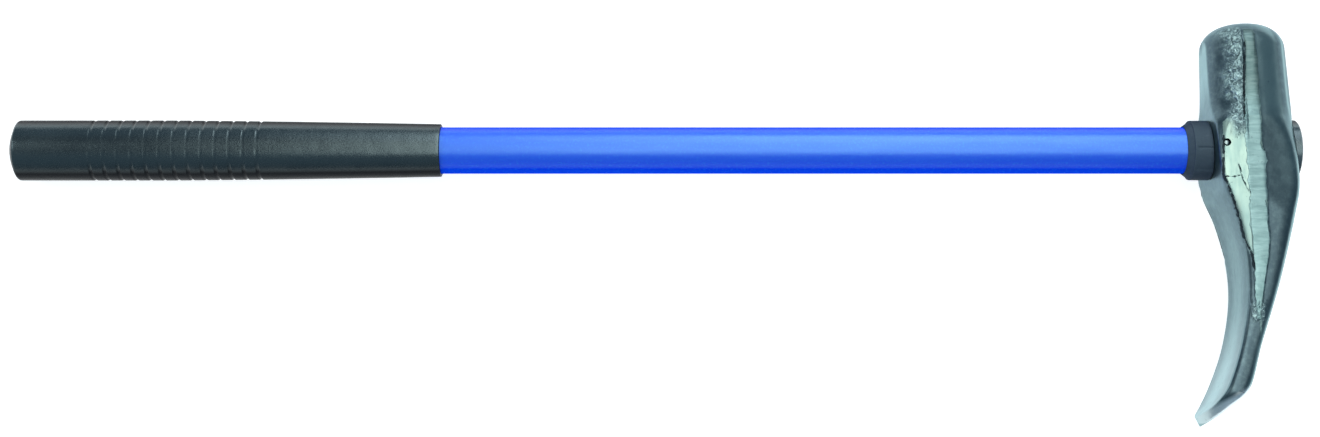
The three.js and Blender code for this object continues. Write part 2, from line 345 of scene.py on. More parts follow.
# %% [markdown]
# ## The forged steel
#
# The head is drop-forged, trimmed and bright plated, and never ground smooth. The plating is a thin bright
# metal over every mark that the forging left. So one metal shader does all, and the marks steer it: the
# mesh carries the distance to each mark as a number on its vertices. A distance blends cleanly between
# vertices, so the shader can cut a crisp border from it, however coarse the mesh is.
#
# - `flash`: how far inside the trimmed flash line a point is, below zero outside
# - `facet`: the same for the flat, clean part of the cheek
# - `scale`: from 0 to 1 where forging scale was hammered into the skin
# - `painted_shade`: 1 on the rounded flanks, the crown and up the hollow towards the collar, where the steel
#   is painted darker as shade
# - `hollow`: 1 on the hollow face of the bill, which has drawn-out streaks
# - `wear_and_light`: 1 where use has rubbed the nose of the bill bright, and a little towards the end of the
#   hollow, which is painted lighter as light
# - `nick`: distance to the nearest lap, which is a line where metal folded over, or to a mark's border


# %% Finish helpers
def new_finish(name, **settings):
    """A material, its node tree, its shader and the object coordinates. settings are shader inputs."""
    material = bpy.data.materials.new(name)
    material.use_nodes = True
    tree = material.node_tree
    shader = tree.nodes["Principled BSDF"]
    for label, value in settings.items():
        shader.inputs[label.replace("_", " ")].default_value = value
    return material, tree, shader, put(tree, "ShaderNodeTexCoord").outputs["Object"]


def wire_surface(tree, shader, color, roughness, height):
    """Joins colour, roughness and a height in metres to the shader."""
    tree.links.new(color, shader.inputs["Base Color"])
    tree.links.new(roughness, shader.inputs["Roughness"])
    bump = put(tree, "ShaderNodeBump", {"Height": height, "Distance": 1.0, "Strength": 1.0})
    tree.links.new(bump.outputs[0], shader.inputs["Normal"])


def mark(tree, name):
    """A number that the mesh carries on its vertices."""
    return put(tree, "ShaderNodeAttribute", attribute_name=name).outputs["Fac"]


# %% Steel: where each mark is
def mark_masks(tree, place):
    """Crisp masks for the strip, the flat and the laps. Their borders wander, as they do on a forging."""
    wander = calc(tree, "MULTIPLY_ADD", noise(tree, place, 420), 1.6 * mm, -0.8 * mm)
    scallops = calc(tree, "MULTIPLY_ADD", noise(tree, place, 130), 4.0 * mm, -2.0 * mm)
    flash = ramp(tree, total(tree, mark(tree, "flash"), wander, scallops), -0.15 * mm, 0.15 * mm)
    clean = ramp(tree, mark(tree, "scale"), 0.0, 0.75, 1.0, 0.0)
    facet = times(tree, ramp(tree, total(tree, mark(tree, "facet"), wander), -0.2 * mm, 0.2 * mm), clean)
    lap_width = calc(tree, "MULTIPLY_ADD", noise(tree, place, 300), 1.3 * mm, 0.05 * mm)
    from_lap = calc(tree, "ABSOLUTE", total(tree, mark(tree, "nick"), wander))
    lap = ramp(tree, calc(tree, "SUBTRACT", lap_width, from_lap), 0.0, 0.35 * mm)
    return flash, facet, lap


# %% Steel: colours
skin_colors = (0.25, 0.36, 0.37, 1), (0.29, 0.41, 0.415, 1)
# painted_shade_color is painted shade on the rounded flanks and in the hollow by the collar.
painted_shade_color, streak_color = (0.085, 0.127, 0.147, 1), (0.11, 0.155, 0.175, 1)
# painted_glint_color is a painted glint on the crests of the scale, and painted_crease_shade_color is painted
# shade in its creases.
painted_glint_color, painted_crease_shade_color = (0.42, 0.58, 0.57, 1), (0.06, 0.09, 0.10, 1)
facet_colors, facet_tip_color = ((0.29, 0.42, 0.385, 1), (0.37, 0.50, 0.44, 1)), (0.17, 0.27, 0.28, 1)
low_line_colors = (0.20, 0.315, 0.315, 1), (0.31, 0.46, 0.455, 1)
# The strip's lines are painted darker high up on the poll, as shade.
poll_shaded_line_colors = (0.085, 0.14, 0.14, 1), (0.15, 0.22, 0.215, 1)
wear_and_light_color, pit_color, lap_color = (0.90, 0.98, 1.0, 1), (0.11, 0.14, 0.155, 1), (0.035, 0.05, 0.058, 1)


def steel_color(tree, place, flash, facet, lap, lines, crumple, pits):
    scale, height_on_head = mark(tree, "scale"), put(tree, "ShaderNodeSeparateXYZ", {0: place}).outputs[1]
    mottle = ramp(tree, noise(tree, place, 300, 4.0, 0.65), 0.25, 0.6, 0.78, 1.0)
    # Painted shade, broken by a mottle and weaker where scale is printed.
    painted_shade = times(tree, mark(tree, "painted_shade"), mottle, ramp(tree, scale, 0.0, 1.0, 1.0, 0.6))
    streaky = noise(tree, stretch(tree, place, (500, 75, 500)), 1.0, 3.0, 0.6)
    streak = times(tree, ramp(tree, streaky, 0.56, 0.72, 0.0, 0.55), mark(tree, "hollow"))
    printed = ramp(tree, scale, 0.1, 0.9)
    # Painted glints on the crests of the scale's lumps, and painted shade in the creases between them.
    crest_glints = times(tree, ramp(tree, crumple, 0.46, 0.60), printed, 0.85)
    crease_shade = times(tree, ramp(tree, crumple, 0.38, 0.48, 1.0, 0.0), printed, 0.6)
    bands = noise(tree, stretch(tree, place, (260, 60, 60)), 1.0)
    facet_color = mix_color(tree, ramp(tree, bands, 0.35, 0.65), *facet_colors)
    facet_tip = ramp(tree, height_on_head, -50 * mm, -18 * mm, 0.48, 0.0)
    line_share = ramp(tree, lines, 0.3, 0.7)
    # Painted shade: the strip turns darker high up on the poll.
    poll_shade_share = ramp(tree, height_on_head, 8 * mm, 42 * mm)
    line_color = mix_color(tree, poll_shade_share, mix_color(tree, line_share, *low_line_colors),
                           mix_color(tree, line_share, *poll_shaded_line_colors))
    return layered(
        tree,
        mix_color(tree, noise(tree, place, 45, 3.0), *skin_colors),
        (painted_shade, painted_shade_color),
        (streak, streak_color),
        (crest_glints, painted_glint_color),
        (crease_shade, painted_crease_shade_color),
        (facet, mix_color(tree, facet_tip, facet_color, facet_tip_color)),
        (flash, line_color),
        (mark(tree, "wear_and_light"), wear_and_light_color),
        (times(tree, pits, 0.5), pit_color),
        (lap, lap_color),
    )


# %% Steel: the whole finish
trim_lines = (70, 330, 20)  # the trimming die's drag marks change quickly along the head, slowly across it


def forged_steel():
    material, tree, shader, place = new_finish(
        "forged_plated_steel", Metallic=1.0, Specular_Tint=(0.80, 0.95, 0.98, 1))
    flash, facet, lap = mark_masks(tree, place)
    lines = noise(tree, stretch(tree, place, trim_lines), 1.0, 3.0, 0.65, 0.6)
    crumple = noise(tree, place, 310, 3.0, 0.6, 1.4)
    pits = ramp(tree, noise(tree, place, 900, 1.0), 0.70, 0.78)
    color = steel_color(tree, place, flash, facet, lap, lines, crumple, pits)
    smears = calc(tree, "MULTIPLY_ADD", noise(tree, place, 160, 3.0), 0.16, 0.24)
    rough = total(tree, smears, weighted(tree, (flash, 0.08), (lap, 0.3)))
    height = weighted(
        tree,
        (times(tree, lines, flash), 0.16 * mm),
        (times(tree, crumple, mark(tree, "scale")), 1.5 * mm),
        (noise(tree, place, 380, 3.0), 0.05 * mm),
        (noise(tree, place, 2600), 0.008 * mm),
        (lap, -0.12 * mm),
        (pits, -0.03 * mm),
        (flash, 0.12 * mm),
    )
    wire_surface(tree, shader, color, rough, height)
    return material


steel = forged_steel()
print("made", steel.name, "with", len(steel.node_tree.nodes), "nodes")

# %% [markdown]
# ## The head's form
#
# The head is a loft. Each station below is one cut through it, from the poll to the tip: the two ends of
# the cut in the middle plane, front on the handle's side and back on the far side, then half of its
# thickness, and how square its two sides are. A smooth curve runs through the stations, so a few cuts
# describe the whole forging, and as many rings as needed can be made from them.

# %% Sizes of the head
poll_height, poll_radius, poll_root_radius = 75 * mm, 24.8 * mm, 26.7 * mm
poll_shift, poll_flat = 2.7 * mm, 23.4 * mm
crown_flat_radius, crown_depth = 7 * mm, 15.5 * mm
eye_back, eye_front = 28.4 * mm, 20.6 * mm
seat_slope = 0.04
bill_drop, bill_sweep = 163 * mm, 31 * mm
bill_hollow, bill_thickness = 5.9 * mm, 12.1 * mm
waist_half, flare_half = 22.7 * mm, 25.4 * mm
nose_edge, nose_point = 6.2 * mm, 1.6


def seat_x(y):
    """Where the seat of the collar is at a height above the handle's axis."""
    return -eye_front - seat_slope * y


def station(front, back, half, reach, square_front, square_back, middle=None):
    """One cut. Its front would go past the flat that cuts it off, reach times as far from its middle."""
    length = math.dist(front, back)
    return [*front, *back, half, reach, square_front, square_back, (middle or length / 2) / length]


def poll_station(radius, y, flat):
    """A round cut through the poll, with the flat on the handle's side."""
    return station((poll_shift - flat, y), (poll_shift + radius, y), radius, radius / flat, 2, 2, flat)


def drop(share):
    return -bill_drop * share


stations = np.array([
    poll_station(poll_radius, poll_height - crown_depth, poll_flat),
    poll_station(poll_root_radius, 25 * mm, poll_flat),
    station((seat_x(10 * mm), 10 * mm), (eye_back, 10 * mm), head_half + 0.3 * mm, 1.16, 4, 2.7),
    station((seat_x(-11 * mm), -11 * mm), (eye_back + 0.1 * mm, -11 * mm), head_half + 0.6 * mm, 1.2, 5, 4.5),
    station((seat_x(-26 * mm) + 2 * mm, -26 * mm), (eye_back - 0.7 * mm, -26 * mm), head_half, 1.28, 4.6, 6),
    station((-bill_hollow - 5.9 * mm, drop(0.252)), (eye_back - 3.8 * mm, drop(0.252)),
            head_half - 1.3 * mm, 1.33, 4, 6),
    station((-bill_hollow - 0.5 * mm, drop(0.4)), (eye_back - 9.9 * mm, drop(0.4)),
            waist_half + 1.8 * mm, 1.38, 4, 6),
    station((-bill_hollow, drop(0.543)), (eye_back - 17 * mm, drop(0.549)), waist_half, 1.4, 4, 6),
    station((-bill_hollow - 4.6 * mm, drop(0.706)), (bill_thickness - bill_hollow - 4.6 * mm, drop(0.718)),
            waist_half + 0.6 * mm, 1.4, 4, 6),
    station((-bill_hollow - 12.7 * mm, drop(0.847)), (bill_thickness - bill_hollow - 12.4 * mm, drop(0.87)),
            flare_half, 1.4, 4, 5),
    station((-0.82 * bill_sweep, drop(0.917)), (nose_edge - 0.77 * bill_sweep, drop(0.94)),
            flare_half, 1.4, 4, 5),
    station((-bill_sweep - 0.38 * nose_edge, drop(1) + 0.9 * nose_edge), (-bill_sweep, drop(1)),
            flare_half, 1.4, 4, 5),
])
half_column = 4  # where a station holds half of its thickness
print(len(stations), "stations")


# %% The curve through the stations
def between(at):
    """Catmull-Rom: at is 0 at the first station and 1 more at each next one."""
    last = len(stations) - 1
    i = min(int(at), last - 1)
    t = at - i
    a, b = stations[i], stations[i + 1]
    slope_a = (b - stations[max(i - 1, 0)]) / 2
    slope_b = (stations[min(i + 2, last)] - a) / 2
    cubic, square = 2 * a - 2 * b + slope_a + slope_b, 3 * (b - a) - 2 * slope_a - slope_b
    return cubic * t**3 + square * t**2 + slope_a * t + a


def crown_cut(angle):
    """A cut through the domed end of the poll. The angle is 90 degrees at the striking face."""
    radius = crown_flat_radius + (poll_radius - crown_flat_radius) * math.cos(angle)
    y = poll_height - crown_depth + crown_depth * math.sin(angle)
    return np.array(poll_station(radius, y, min(0.998 * radius, poll_flat)))


def nose_cut(angle, last_plate):
    """A cut through the rounded nose, over the last two gaps between stations."""
    cut = between(last_plate + 2 * math.sin(angle))
    cut[half_column] *= math.cos(angle) ** nose_point
    return cut


def spread(points, count):
    """count points at equal distances along a line of points."""
    steps = np.linalg.norm(np.diff(points, axis=0), axis=1)
    at = np.concatenate([[0], np.cumsum(steps)])
    wanted = np.linspace(0, at[-1], count)
    return np.stack([np.interp(wanted, at, points[:, k]) for k in range(points.shape[1])], -1)


# %% The outline of a cut
outline_steps = 90


def superellipse(turn, square):
    """Cosine and sine of angles. At 2 they make a circle, and above it the shape gets squarer."""
    return np.clip(np.cos(turn), 0, 1) ** (2 / square), np.sin(turn) ** (2 / square)


def half_outline(cut, counts):
    """Half of a cut's outline as (share from front to back, height): flat, front side and far side."""
    front_x, front_y, back_x, back_y, half, reach, square_front, square_back, middle = cut
    edge = math.acos(min(1, 1 / reach) ** (square_front / 2))
    across, up = superellipse(np.linspace(edge, math.pi / 2, outline_steps), square_front)
    front = np.stack([middle * (1 - reach * across), half * up], -1)
    across, up = superellipse(np.linspace(math.pi / 2, 0, outline_steps), square_back)
    back = np.stack([middle + (1 - middle) * across, half * up], -1)
    size = np.array([math.dist((front_x, front_y), (back_x, back_y)), 1])
    flat = np.linspace((0, 0), (0, front[0, 1]), counts[0], endpoint=False)
    sides = [spread(front * size, counts[1] + 1)[:-1] / size, spread(back * size, counts[2]) / size]
    return np.vstack([flat, *sides])


def flank(counts):
    """For each point of an outline: -1 to 0 on the flat, 0 to 1 on the front side, 1 to 2 on the far side."""
    flat, front = (np.linspace(k - 1, k, counts[k], endpoint=False) for k in (0, 1))
    half = [*flat, *front, *np.linspace(1, 2, counts[2])]
    return np.array(half + half[-2:0:-1])


def ring(cut, counts):
    """The whole outline of a cut as points, both halves."""
    outline = half_outline(cut, counts)
    outline = np.vstack([outline, outline[-2:0:-1] * [1, -1]])
    front, back = cut[0:2], cut[2:4]
    in_plane = front + (back - front) * outline[:, :1]
    return np.column_stack([in_plane, outline[:, 1]])


# %% Rings of the head
side_counts = (9, 52, 34)  # points on half of the flat, on the front side and on the far side
crown_rings, plate_rings, nose_rings = 34, 300, 60
nose_end = 83  # degrees: the last ring stops just short of a point
last_plate = len(stations) - 3
place_weights = np.array([1, 1, 1, 1, 1, mm, mm, mm, mm])  # only a station's lengths count for the spacing

cuts = [crown_cut(math.radians(a)) for a in np.linspace(90, 0, crown_rings, endpoint=False)]
plates = np.array([between(at) for at in np.linspace(0, last_plate, 4 * plate_rings)])
cuts += list(spread(plates * place_weights, plate_rings) / place_weights)
cuts += [nose_cut(math.radians(a), last_plate) for a in np.linspace(0, nose_end, nose_rings + 1)[1:]]
rings = np.array([ring(cut, side_counts) for cut in cuts])
print("head:", rings.shape[0], "rings of", rings.shape[1], "points")

# %% [markdown]
# ## Marks of the forging
#
# The dies parted along the middle of the cheeks. The trimmed flash is left there as a rough strip, and
# next to it, below the eye, the cheek is a flat that tapers to a point on the bill. On the poll the die had
# loose scale in it, which is printed in the skin. The borders of these marks are short lists of places, in
# millimetres from the head's and the handle's centre lines. An edge starts at its lowest place.

# %% Borders of the marks
strip_edges = np.array([  # height, left edge and right edge of the flash strip
    (-107, -2.0, 0.6), (-88, -2.4, 2.5), (-66, -2.6, 6.1), (-53, -3.2, 7.0), (-49, -3.6, 6.2),
    (-26, -4.4, 5.5), (-6, -4.9, 6.0), (-3, -5.2, 4.2), (15, -5.2, 4.4), (37, -3.9, 4.2), (61, -2.3, 3.6),
    (75, -1.8, 3.4)])
strip_bottom, strip_top = -103 * mm, 69 * mm
border_of_flat = [(-2.1, -74), (-3.3, -65.4), (-7, -56.8), (-10.7, -41.3), (-15.1, -28.1), (-18.5, -19.3),
                  (-18.1, -4.6)]
edge_of_flat = np.array([(0, -80), *border_of_flat, (-17.6, 14)])
drawn_borders = [[*border_of_flat, (-17.6, 4)], [(-5.2, 15), (-3.9, 37), (-2.4, 60)]]
laps = [[(-9.6, -13), (-8.8, -15.8), (-7.6, -22), (-3.4, -30.5)], [(-17.3, -20), (-13, -20.4), (-9, -19.2)],
        [(3.9, -2.2), (6.1, -5.2)], [(-14, -143.5), (-11, -145.2)]]
lap_inset = 0.3 * mm  # a lap is this much thinner than a border


def edges_of_strip(y):
    """The left and the right edge of the flash strip at each height."""
    heights, lefts, rights = strip_edges.T * mm
    return np.interp(y, heights, lefts), np.interp(y, heights, rights)


def distance_to(place, lines):
    """Distance from places in the XY plane to the nearest of some broken lines."""
    distances = []
    for line in lines:
        for start, end in zip(np.array(line) * mm, np.array(line[1:]) * mm):
            way = end - start
            share = np.clip(((place - start) @ way) / (way @ way), 0, 1)
            distances.append(np.linalg.norm(place - start - share[..., None] * way, axis=-1))
    return np.minimum.reduce(distances)


# %% [markdown]
# Each mark is then one number for each point of the head. Most of them fade in over a few millimetres at
# some place, so two short functions say just that: `above` a level, and `below` it.


# %% Scale, wear, painted light and painted shade
def above(values, level, width):
    """0 below the level and 1 above it, and a change as wide as width. Level and width are in millimetres."""
    return np.clip((values / mm - level) / width + 0.5, 0, 1)


def below(values, level, width):
    return 1 - above(values, level, width)


def printed_scale(x, y, flash):
    """Scale on the poll, with a ragged edge, and a weaker patch where the strip ends on the bill."""
    ragged = 1.4 * mm * np.sin(y / (4.7 * mm)) + 1.0 * mm * np.sin(y / (2.1 * mm))
    on_poll = above(x + ragged, -12.5, 8) * below(x, -3.6, 1) * above(y, 8, 16) * below(y, 70, 4)
    patch = above(y, -104, 3) * below(y, -92, 3) * above(flash, -2, 2)
    return np.maximum(on_poll, 0.6 * patch)


def wear_and_light_marks(x, y, around):
    """The nose is rubbed bright up to a slanting line. The end of the hollow is painted a little lighter, as
    light away from the shade by the collar.
    """
    nose = below(y - 0.545 * (x + 15 * mm), -145.5, 3) * (around > 0) * (around < 1.3)
    nose *= np.interp(x / mm, [-30, -20], [0.3, 1])
    # Painted light: a little lighter towards the end of the hollow.
    return np.maximum(nose, 0.2 * below(y, -112, 40) * (around < 0))


def painted_steel_shade(x, y, z, around):
    """Painted shade on the flanks of the poll, the eye and the bill, on the crown, by the seat, and darker up
    the hollow towards the collar. A few thin lines on the poll's far side and one along the back edge are
    left light as painted highlights.
    """
    poll = np.interp(around, [-0.2, 0.04, 0.6, 1.0, 1.08, 1.36, 1.43, 1.54, 1.57, 1.62, 1.65, 2],
                     [0.1, 1, 1, 0.8, 0.3, 0.3, 1, 1, 0, 0, 1, 1])
    eye = np.interp(around, [-0.2, 0.04, 1, 1.75, 2], [0.1, 1, 1, 0.35, 0.1])
    # Painted shade up the hollow, darker towards the collar.
    in_hollow = np.interp(y / mm, [-135, -100, -57, -30], [0, 0.35, 0.57, 0.85])
    rim = np.interp(around, [-0.75, -0.3, 0.0, 0.04, 0.12], [0, 0.9, 0.8, 0.4, 1])
    outside = np.interp(around, [1, 1.6, 1.8, 2], [1, 0.85, 0.3, 0.1])
    bill = np.where(around < 0.12, in_hollow + (1 - in_hollow) * rim, outside)
    painted_shade = eye + above(y, 16, 14) * (poll - eye) + below(y, -22, 16) * (bill - eye)
    # Painted shade on the crown and by the round seat.
    crown = above(y, 64, 8) * np.interp(x / mm, [-10, 4, 12], [1, 0.95, 0.5])
    round_seat = 0.75 * below(y, 36, 20) * above(y, -30, 14) * (around < 0.02)
    painted_shade = np.maximum.reduce([painted_shade, crown, np.broadcast_to(round_seat, painted_shade.shape)]) * above(y, -150, 6)
    # A line along the back edge is left light, as a painted highlight.
    from_back = x.max(axis=1, keepdims=True) - x
    lit_back_line = np.interp(from_back / mm, [0.4, 1.2, 2.8, 3.6], [0, 1, 1, 0]) * (around > 1)
    lit_back_line *= (np.abs(z) > 0.5 * np.abs(z).max(axis=1, keepdims=True)) * below(y, 12, 16)
    return painted_shade * (1 - lit_back_line)


# %% All marks
def marks_of(points, around):
    """The numbers that the mesh carries, for points given from the middle plane. around is flank()'s."""
    x, y, z = points[..., 0], points[..., 1], points[..., 2]
    y = np.where(z < 0, y + 4 * mm, y)  # the two cheeks aren't quite alike
    left, right = edges_of_strip(y)
    flash = np.minimum.reduce([x - left, right - x, strip_top - y, y - strip_bottom])
    off_cheek = np.abs(z).max(axis=1, keepdims=True) - np.abs(z) - 4 * mm
    flat_x, flat_y = edge_of_flat.T * mm
    flat_top = 12 * mm + 0.9 * (x + 17.6 * mm)
    facet = np.minimum.reduce([x - np.interp(y, flat_y, flat_x), flat_top - y, right - x, -off_cheek])
    place = np.stack([x, y], -1)
    nick = np.minimum(distance_to(place, drawn_borders), distance_to(place, laps) + lap_inset)
    return {
        "flash": flash,
        "facet": facet,
        "scale": printed_scale(x, y, flash),
        "painted_shade": painted_steel_shade(x, y, z, around),
        "hollow": below(y, -32, 20) * (around < 0.05),
        "nick": nick + np.maximum(off_cheek, 0),
        "wear_and_light": wear_and_light_marks(x, y, around),
    }


# %% [markdown]
# ## The head's blank
#
# The cheeks are nearly flat: each falls away a little on both sides of the flash strip. That is a limit on
# how high a point may stand. After it, every ring is smoothed along its outline a few times, which rounds
# the edges as a forging die's fillets do.

# %% Cheeks, rounded edges and the head's blank
flash_stand = 0.3 * mm  # the flash strip stands this much above the cheek
fall_left, fall_right = 0.055, 0.10
smoothing_passes = 5


def limited(points):
    """Lowers what is above the cheeks."""
    x, y, z = points[..., 0], points[..., 1], points[..., 2]
    left, right = edges_of_strip(y)
    fall = fall_left * np.maximum(left - x, 0) + fall_right * np.maximum(x - right, 0)
    top = head_half - flash_stand - fall
    return np.stack([x, y, np.clip(z, -top, top)], -1)


def smoothed(points, passes):
    """Moves each point of each ring towards the middle of its two neighbours."""
    for _ in range(passes):
        points = 0.5 * points + 0.25 * (np.roll(points, 1, axis=1) + np.roll(points, -1, axis=1))
    return points


form = smoothed(limited(rings), smoothing_passes)
face_middle = form[0].mean(0)
face_rings = np.array([face_middle + (form[0] - face_middle) * share for share in (0.04, 0.25, 0.5, 0.75)])
form = np.concatenate([face_rings, form])
marks = marks_of(form, flank(side_counts))
form[..., 2] += axis_z

blank_mesh = skin("head_blank", form)
for name, values in marks.items():
    attribute = blank_mesh.attributes.new(name, "FLOAT", "POINT")
    ends = [values[0].mean(), values[-1].mean()]
    attribute.data.foreach_set("value", np.concatenate([values.ravel(), ends]).astype(np.float32))
print("blank:", len(blank_mesh.polygons), "faces that carry", sorted(marks))

# %% [markdown]
# ## Relief of the head
#
# The marks are real relief, so they go into the mesh, not only into the shader. This tree moves each point
# along its normal: up under the flash strip, with the drag lines of trimming across it, down where scale
# was printed in, and down along the laps and the border of the flat. Geometry Nodes suit this because the
# pattern follows the surface and its sizes stay open as inputs.


# %% Relief tree
def relief_tree():
    sizes = ("Strip height", "Line depth", "Scale depth", "Skin depth", "Lap depth")
    tree, given = geometry_tree("forging_relief", sizes, {"Seed": int, "Material": bpy.types.Material})
    position = put(tree, "GeometryNodeInputPosition").outputs[0]
    seed_shift = put(tree, "ShaderNodeCombineXYZ", {2: given["Seed"]}).outputs[0]
    line_place, lump_place = (vector_calc(tree, "ADD", stretch(tree, position, factors), seed_shift)[0]
                              for factors in (trim_lines, (300, 300, 300)))
    flash, scale, nick = (
        put(tree, "GeometryNodeInputNamedAttribute", {"Name": name}, data_type="FLOAT").outputs["Attribute"]
        for name in ("flash", "scale", "nick"))
    strip = ramp(tree, flash, -0.4 * mm, 0.4 * mm)
    lumps = ramp(tree, noise(tree, lump_place, 1.0, 2.0, 0.6, 0.8), 0.35, 0.65)
    sunk = {
        "Line depth": times(tree, noise(tree, line_place, 1.0), strip),
        "Scale depth": times(tree, lumps, scale),
        "Skin depth": noise(tree, stretch(tree, position, (70, 70, 70)), 1.0, 1.0),
        "Lap depth": ramp(tree, nick, 0.2 * mm, 0.7 * mm, 1.0, 0.0),
    }
    height = times(tree, strip, given["Strip height"])
    for label, pattern in sunk.items():
        height = calc(tree, "SUBTRACT", height, times(tree, pattern, given[label]))
    move_and_end(tree, given, put(tree, "GeometryNodeInputNormal").outputs[0], height)
    return tree


head = linked("forged_head", blank_mesh)
run_tree(head, relief_tree(), {"Strip height": flash_stand, "Line depth": 0.22 * mm, "Scale depth": 0.5 * mm,
                               "Skin depth": 0.12 * mm, "Lap depth": 0.3 * mm, "Seed": 7, "Material": steel})
print("relief on", len(head.data.polygons), "faces")

# %% [markdown]
# ## Eye and pin hole
#
# The eye is a taper bore, wider on the far side, so that the bonded handle can't pull through. It is drilled
# after the relief, as the real one is. A boolean with a cone and a cylinder does it.

# %% Drill the head
shaft_radius, jacket_wall, fit_gap = 13.75 * mm, 2 * mm, 0.3 * mm
core_radius = shaft_radius - jacket_wall
eye_radius, eye_taper = core_radius + 3.4 * mm, 1.2 * mm
pin_radius, pin_gap, pin_x = 1.8 * mm, 0.3 * mm, 4.9 * mm - eye_front
pin_sides = 48


def eye_radius_at(x):
    """Radius of the taper eye at a distance from the head's centre line."""
    return eye_radius + eye_taper * (x + eye_front) / (eye_front + eye_back)


def upright(mesh, x):
    """Turns a turned mesh from the handle's axis to a vertical line at x."""
    for vertex in mesh.vertices:
        along, side, up = vertex.co
        vertex.co = (x - (up - axis_z), side, along + axis_z)
    return mesh


def cut_away(piece, tool_mesh, operation="DIFFERENCE"):
    """Cuts a mesh out of a piece, or joins it on."""
    tool = linked("cutter", tool_mesh)
    modifier = piece.modifiers.new("cut", "BOOLEAN")
    modifier.operation = operation
    modifier.object = tool
    modifier.solver = "EXACT"
    stored(piece)
    bpy.data.objects.remove(tool)


blank_copy = head.data.copy()
cut_away(head, turned("eye_cone", [(x, eye_radius_at(x)) for x in (-2 * eye_front, 2 * eye_back)]))
drill_profile = [(x, pin_radius + pin_gap) for x in (-2 * head_half, 2 * head_half)]
cut_away(head, upright(turned("drill", drill_profile, pin_sides), pin_x))
crease(head.data)
print("drilled head:", len(head.data.polygons), "faces")

# %% [markdown]
# ## Gloss of the handle
#
# The handle is glossy on top. On its two flanks and along the edge on the poll's side the gloss is turned
# down, so that they mirror less of the bright floor and lights: painted shade. The gloss is worked out from
# the normal in the object's own space.


# %% Gloss
def gloss_and_painted_shade(tree, shader, gloss, refraction, tint, shaded_low_gloss=0.0, shaded_high_gloss=0.0):
    """Gloss on top that fades to the two flanks, which keep shaded_low_gloss and shaded_high_gloss. The fade
    is painted shade: the flanks mirror less of the floor.
    """
    shader.inputs["IOR"].default_value = refraction
    shader.inputs["Specular Tint"].default_value = tint
    facing = put(tree, "ShaderNodeTexCoord").outputs["Normal"]
    facing_top = vector_calc(tree, "DOT_PRODUCT", facing, (0, 0.05, 1.0))["Value"]
    sideways = put(tree, "ShaderNodeSeparateXYZ", {0: facing}).outputs[1]
    shaded_flank_gloss = ramp(tree, sideways, -0.5, 0.5, shaded_low_gloss, shaded_high_gloss)
    top_gloss = ramp(tree, sideways, 0.62, 0.88, gloss, 0.04)
    tree.links.new(ramp(tree, facing_top, 0.42, 0.88, shaded_flank_gloss, top_gloss), shader.inputs["Specular IOR Level"])


def streaks(tree, place, along, across):
    """Noise drawn out along the handle."""
    return noise(tree, stretch(tree, place, (along, across, across)), 1.0, 3.0, 0.55)


# %% [markdown]
# ## Blue jacket of the shaft
#
# The shaft is a glass-fibre rod in a jacket of blue plastic, drawn over it as it leaves the die. Drawing
# leaves faint lengthwise streaks in the colour and in the gloss, so the noise is stretched along X. The
# jacket is one turned tube. Its front end leans as the seat on the head does.

# %% Blue jacket
handle_reach = 728 * mm
butt_x = -handle_reach
core_start = butt_x + 7 * mm
jacket_bore = core_radius + fit_gap
blue_colors, blue_speckle = ((0.002, 0.052, 0.96, 1), (0.004, 0.080, 1.0, 1)), (0.012, 0.15, 1.0, 1)


def blue_plastic():
    material, tree, shader, place = new_finish("blue_drawn_plastic")
    gloss_and_painted_shade(tree, shader, 1.0, 1.8, (0.45, 0.95, 0.98, 1))
    long_streaks = streaks(tree, place, 18, 420)
    speckle = noise(tree, place, 700, 3.0, 0.6)
    color = layered(tree, mix_color(tree, long_streaks, *blue_colors),
                    (ramp(tree, speckle, 0.5, 0.7, 0.0, 0.6), blue_speckle))
    rough = calc(tree, "MULTIPLY_ADD", streaks(tree, place, 30, 300), 0.18, 0.26)
    wire_surface(tree, shader, color, rough, weighted(tree, (long_streaks, 0.02 * mm), (speckle, 0.06 * mm)))
    return material


jacket_stops = np.linspace(core_start, -eye_front - fit_gap, 60)
jacket_outside = [(x, shaft_radius) for x in jacket_stops]
jacket_profile = [(core_start, jacket_bore), *jacket_outside, (jacket_stops[-1], jacket_bore)]
jacket_mesh = turned("shaft_jacket", jacket_profile, sides=112, closed=True)
for vertex in jacket_mesh.vertices:
    if vertex.co.x > jacket_stops[-2]:
        vertex.co.x -= seat_slope * vertex.co.y
jacket = linked("shaft_jacket", jacket_mesh)
jacket_mesh.materials.append(blue_plastic())
crease(jacket_mesh)
print("jacket:", len(jacket_mesh.polygons), "faces,", round(2 * shaft_radius / mm, 1), "mm across")

# %% [markdown]
# ## Moulded rubber and plastic
#
# Grip, collar and cap are moulded black rubber or plastic. They differ in how coarse the mould's grain is
# and how much they shine, so one recipe makes all three: a mottled colour, grain, and pale scuffs.


# %% Moulded rubber and plastic
def moulded(name, colors, scuff_color, rough, grain_size, grain_depth, gloss=0.5, refraction=1.5):
    """A moulded finish. colors are its dark and light colour, and rough its lowest and highest roughness."""
    material, tree, shader, place = new_finish(name)
    gloss_and_painted_shade(tree, shader, gloss, refraction, (0.74, 0.96, 1.0, 1), 0.03, 0.006)
    cloud = noise(tree, place, 60, 4.0, 0.6)
    grain = noise(tree, place, 1 / grain_size, 3.0, 0.6)
    scuffed = noise(tree, stretch(tree, place, (90, 420, 420)), 1.0, 4.0, 0.7)
    scuffs = ramp(tree, scuffed, 0.62, 0.78, 0.0, 0.35)
    color = layered(tree, mix_color(tree, cloud, *colors),
                    (times(tree, grain, 0.35), scuff_color), (scuffs, scuff_color))
    roughness = ramp(tree, weighted(tree, (cloud, 0.5), (grain, 0.5)), 0.3, 0.7, *rough)
    height = weighted(tree, (grain, grain_depth), (noise(tree, place, 120), 2 * grain_depth))
    wire_surface(tree, shader, color, roughness, height)
    return material


